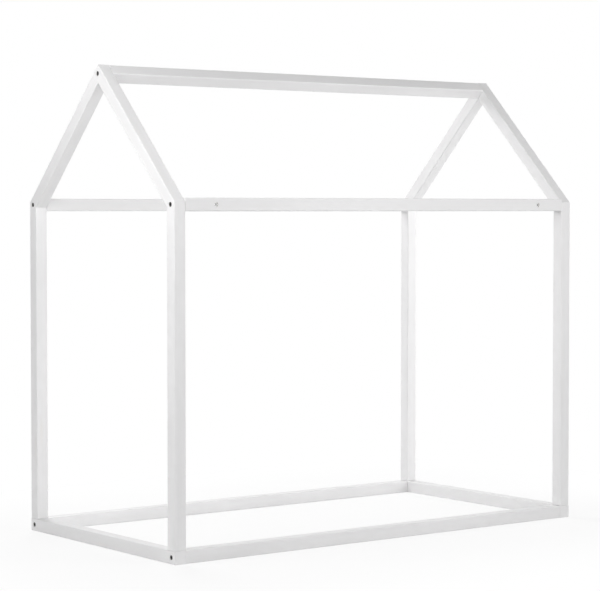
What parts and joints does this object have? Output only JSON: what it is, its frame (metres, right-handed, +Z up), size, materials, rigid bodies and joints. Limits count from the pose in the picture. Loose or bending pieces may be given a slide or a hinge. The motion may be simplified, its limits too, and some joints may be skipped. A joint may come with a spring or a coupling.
{
  "type": "house bed frame",
  "caption": "Open house-shaped child's bed frame of square timber: mitred gables joined by a ridge beam, eave beams and floor rails with bolts, barrel nuts and dowels.",
  "frame": {"origin": "centre of the footprint, on the floor under the rails", "axes": "+X along the bed's length (left gable at -X), +Y to the rear, +Z up"},
  "size_m": [1.5, 0.79, 1.393],
  "materials": {
    "painted_timber": "white satin paint on planed softwood",
    "black_bolt_steel": "black oxide, semi-matte",
    "nut_steel": "zinc-plated steel",
    "dowel_wood": "bare beech"
  },
  "bodies": {
    "root": {"ridge_beam": "painted_timber", "front_eave_beam": "painted_timber", "rear_eave_beam": "painted_timber", "front_bottom_rail": "painted_timber", "rear_bottom_rail": "painted_timber", "left_bottom_cross_rail": "painted_timber", "left_front_post": "painted_timber", "left_front_rafter": "painted_timber", "left_rear_post": "painted_timber", "left_rear_rafter": "painted_timber", "right_bottom_cross_rail": "painted_timber", "right_front_post": "painted_timber", "right_front_rafter": "painted_timber", "right_rear_post": "painted_timber", "right_rear_rafter": "painted_timber", "left_apex_bolt": "black_bolt_steel", "left_front_eave_bolt": "black_bolt_steel", "left_rear_eave_bolt": "black_bolt_steel", "left_front_bottom_bolt": "black_bolt_steel", "left_rear_bottom_bolt": "black_bolt_steel", "right_apex_bolt": "black_bolt_steel", "right_front_eave_bolt": "black_bolt_steel", "right_rear_eave_bolt": "black_bolt_steel", "right_front_bottom_bolt": "black_bolt_steel", "right_rear_bottom_bolt": "black_bolt_steel", "left_apex_barrel_nut": "nut_steel", "left_front_eave_barrel_nut": "nut_steel", "left_rear_eave_barrel_nut": "nut_steel", "left_front_bottom_barrel_nut": "nut_steel", "left_rear_bottom_barrel_nut": "nut_steel", "right_apex_barrel_nut": "nut_steel", "right_front_eave_barrel_nut": "nut_steel", "right_rear_eave_barrel_nut": "nut_steel", "right_front_bottom_barrel_nut": "nut_steel", "right_rear_bottom_barrel_nut": "nut_steel", "left_apex_bar_dowels": "dowel_wood", "left_front_eave_bar_dowels": "dowel_wood", "left_rear_eave_bar_dowels": "dowel_wood", "left_front_bottom_bar_dowels": "dowel_wood", "left_rear_bottom_bar_dowels": "dowel_wood", "right_apex_bar_dowels": "dowel_wood", "right_front_eave_bar_dowels": "dowel_wood", "right_rear_eave_bar_dowels": "dowel_wood", "right_front_bottom_bar_dowels": "dowel_wood", "right_rear_bottom_bar_dowels": "dowel_wood", "left_front_foot_dowels": "dowel_wood", "left_rear_foot_dowels": "dowel_wood", "left_front_mitre_dowel": "dowel_wood", "left_rear_mitre_dowel": "dowel_wood", "left_apex_mitre_dowel": "dowel_wood", "right_front_foot_dowels": "dowel_wood", "right_rear_foot_dowels": "dowel_wood", "right_front_mitre_dowel": "dowel_wood", "right_rear_mitre_dowel": "dowel_wood", "right_apex_mitre_dowel": "dowel_wood"}
  },
  "joints": []
}
